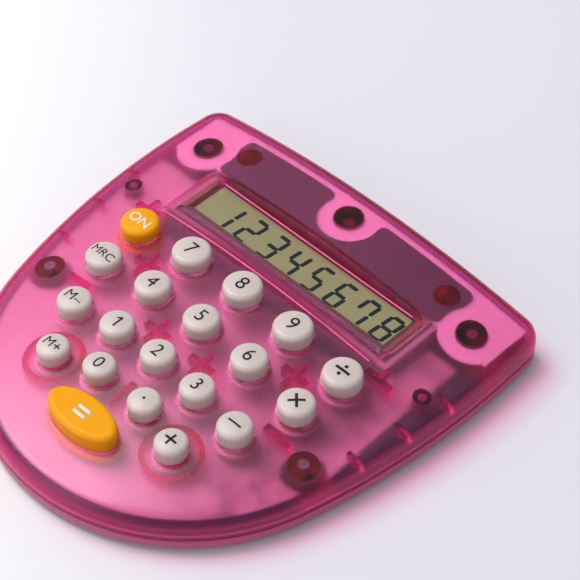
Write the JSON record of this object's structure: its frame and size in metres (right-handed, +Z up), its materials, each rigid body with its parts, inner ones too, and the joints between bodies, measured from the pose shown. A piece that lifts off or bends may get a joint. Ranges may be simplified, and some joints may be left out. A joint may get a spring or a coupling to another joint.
{
  "type": "desk calculator",
  "caption": "Small desk calculator with a shield-shaped translucent pink case, round sprung keys, an oval equals key and a sunken liquid crystal display.",
  "frame": {"origin": "middle of the outline, on the surface that the feet stand on", "axes": "+X to the reader's right, +Y from the equals key towards the display, +Z up out of the keys"},
  "size_m": [0.0932, 0.0938, 0.0162],
  "materials": {
    "translucent_case": "clear pink moulded plastic, polished outside",
    "milky_case": "milky pale pink moulded plastic",
    "key_white": "warm white moulded plastic with a soft gloss",
    "key_yellow": "golden yellow moulded plastic with a gloss",
    "board_laminate": "dark coated laminate",
    "keypad_rubber": "pale grey silicone rubber",
    "shade_plastic": "dark grey sheet plastic",
    "holder_plastic": "pale moulded plastic",
    "zebra_rubber": "striped conductive rubber",
    "chip_resin": "glossy black resin",
    "component_ceramic": "tan ceramic with tinned ends",
    "cell_steel": "nickel plated can",
    "contact_brass": "sprung brass strip",
    "screw_steel": "zinc plated steel",
    "foot_rubber": "black soft rubber",
    "polarizer_film": "olive green film, satin",
    "display_glass": "thin clear glass",
    "reflector_film": "silvery diffusing film"
  },
  "bodies": {
    "case": {"top_shell": "translucent_case", "back_shell": "milky_case", "circuit_board": "board_laminate", "rubber_keypad": "keypad_rubber", "display_shade": "shade_plastic", "lcd_holder": "holder_plastic", "zebra_connector": "zebra_rubber", "chip_blob": "chip_resin", "board_components": "component_ceramic", "button_cell": "cell_steel", "battery_spring_contact": "contact_brass", "battery_clip_contact": "contact_brass", "case_screws": "screw_steel", "board_screws": "screw_steel", "rubber_feet": "foot_rubber", "lcd_polarizer": "polarizer_film", "lcd_front_glass": "display_glass", "lcd_rear_glass": "display_glass", "lcd_reflector": "reflector_film"},
    "battery_cap": {"battery_cap": "milky_case"},
    "key_on": {"key_on": "key_yellow"},
    "key_7": {"key_7": "key_white"},
    "key_8": {"key_8": "key_white"},
    "key_9": {"key_9": "key_white"},
    "key_divide": {"key_divide": "key_white"},
    "key_mrc": {"key_mrc": "key_white"},
    "key_4": {"key_4": "key_white"},
    "key_5": {"key_5": "key_white"},
    "key_6": {"key_6": "key_white"},
    "key_multiply": {"key_multiply": "key_white"},
    "key_memory_minus": {"key_memory_minus": "key_white"},
    "key_1": {"key_1": "key_white"},
    "key_2": {"key_2": "key_white"},
    "key_3": {"key_3": "key_white"},
    "key_minus": {"key_minus": "key_white"},
    "key_memory_plus": {"key_memory_plus": "key_white"},
    "key_0": {"key_0": "key_white"},
    "key_point": {"key_point": "key_white"},
    "key_plus": {"key_plus": "key_white"},
    "key_equals": {"key_equals": "key_yellow"}
  },
  "joints": [
    {"name": "key_on_press", "type": "slide", "parent": "case", "child": "key_on", "axis": [0, 0, -1], "range_m": [0, 0.0007], "stiffness_N_per_m": 400, "deforming": ["rubber_keypad"]},
    {"name": "key_7_press", "type": "slide", "parent": "case", "child": "key_7", "axis": [0, 0, -1], "range_m": [0, 0.0007], "stiffness_N_per_m": 400, "deforming": ["rubber_keypad"]},
    {"name": "key_8_press", "type": "slide", "parent": "case", "child": "key_8", "axis": [0, 0, -1], "range_m": [0, 0.0007], "stiffness_N_per_m": 400, "deforming": ["rubber_keypad"]},
    {"name": "key_9_press", "type": "slide", "parent": "case", "child": "key_9", "axis": [0, 0, -1], "range_m": [0, 0.0007], "stiffness_N_per_m": 400, "deforming": ["rubber_keypad"]},
    {"name": "key_divide_press", "type": "slide", "parent": "case", "child": "key_divide", "axis": [0, 0, -1], "range_m": [0, 0.0007], "stiffness_N_per_m": 400, "deforming": ["rubber_keypad"]},
    {"name": "key_mrc_press", "type": "slide", "parent": "case", "child": "key_mrc", "axis": [0, 0, -1], "range_m": [0, 0.0007], "stiffness_N_per_m": 400, "deforming": ["rubber_keypad"]},
    {"name": "key_4_press", "type": "slide", "parent": "case", "child": "key_4", "axis": [0, 0, -1], "range_m": [0, 0.0007], "stiffness_N_per_m": 400, "deforming": ["rubber_keypad"]},
    {"name": "key_5_press", "type": "slide", "parent": "case", "child": "key_5", "axis": [0, 0, -1], "range_m": [0, 0.0007], "stiffness_N_per_m": 400, "deforming": ["rubber_keypad"]},
    {"name": "key_6_press", "type": "slide", "parent": "case", "child": "key_6", "axis": [0, 0, -1], "range_m": [0, 0.0007], "stiffness_N_per_m": 400, "deforming": ["rubber_keypad"]},
    {"name": "key_multiply_press", "type": "slide", "parent": "case", "child": "key_multiply", "axis": [0, 0, -1], "range_m": [0, 0.0007], "stiffness_N_per_m": 400, "deforming": ["rubber_keypad"]},
    {"name": "key_memory_minus_press", "type": "slide", "parent": "case", "child": "key_memory_minus", "axis": [0, 0, -1], "range_m": [0, 0.0007], "stiffness_N_per_m": 400, "deforming": ["rubber_keypad"]},
    {"name": "key_1_press", "type": "slide", "parent": "case", "child": "key_1", "axis": [0, 0, -1], "range_m": [0, 0.0007], "stiffness_N_per_m": 400, "deforming": ["rubber_keypad"]},
    {"name": "key_2_press", "type": "slide", "parent": "case", "child": "key_2", "axis": [0, 0, -1], "range_m": [0, 0.0007], "stiffness_N_per_m": 400, "deforming": ["rubber_keypad"]},
    {"name": "key_3_press", "type": "slide", "parent": "case", "child": "key_3", "axis": [0, 0, -1], "range_m": [0, 0.0007], "stiffness_N_per_m": 400, "deforming": ["rubber_keypad"]},
    {"name": "key_minus_press", "type": "slide", "parent": "case", "child": "key_minus", "axis": [0, 0, -1], "range_m": [0, 0.0007], "stiffness_N_per_m": 400, "deforming": ["rubber_keypad"]},
    {"name": "key_memory_plus_press", "type": "slide", "parent": "case", "child": "key_memory_plus", "axis": [0, 0, -1], "range_m": [0, 0.0007], "stiffness_N_per_m": 400, "deforming": ["rubber_keypad"]},
    {"name": "key_0_press", "type": "slide", "parent": "case", "child": "key_0", "axis": [0, 0, -1], "range_m": [0, 0.0007], "stiffness_N_per_m": 400, "deforming": ["rubber_keypad"]},
    {"name": "key_point_press", "type": "slide", "parent": "case", "child": "key_point", "axis": [0, 0, -1], "range_m": [0, 0.0007], "stiffness_N_per_m": 400, "deforming": ["rubber_keypad"]},
    {"name": "key_plus_press", "type": "slide", "parent": "case", "child": "key_plus", "axis": [0, 0, -1], "range_m": [0, 0.0007], "stiffness_N_per_m": 400, "deforming": ["rubber_keypad"]},
    {"name": "key_equals_press", "type": "slide", "parent": "case", "child": "key_equals", "axis": [0, 0, -1], "range_m": [0, 0.0007], "stiffness_N_per_m": 400, "deforming": ["rubber_keypad"]},
    {"name": "battery_cap_turn", "type": "hinge", "parent": "case", "child": "battery_cap", "pos_m": [0, 0.0198, 0.0013], "axis": [0, 0, 1], "range_deg": [0, 90]}
  ]
}
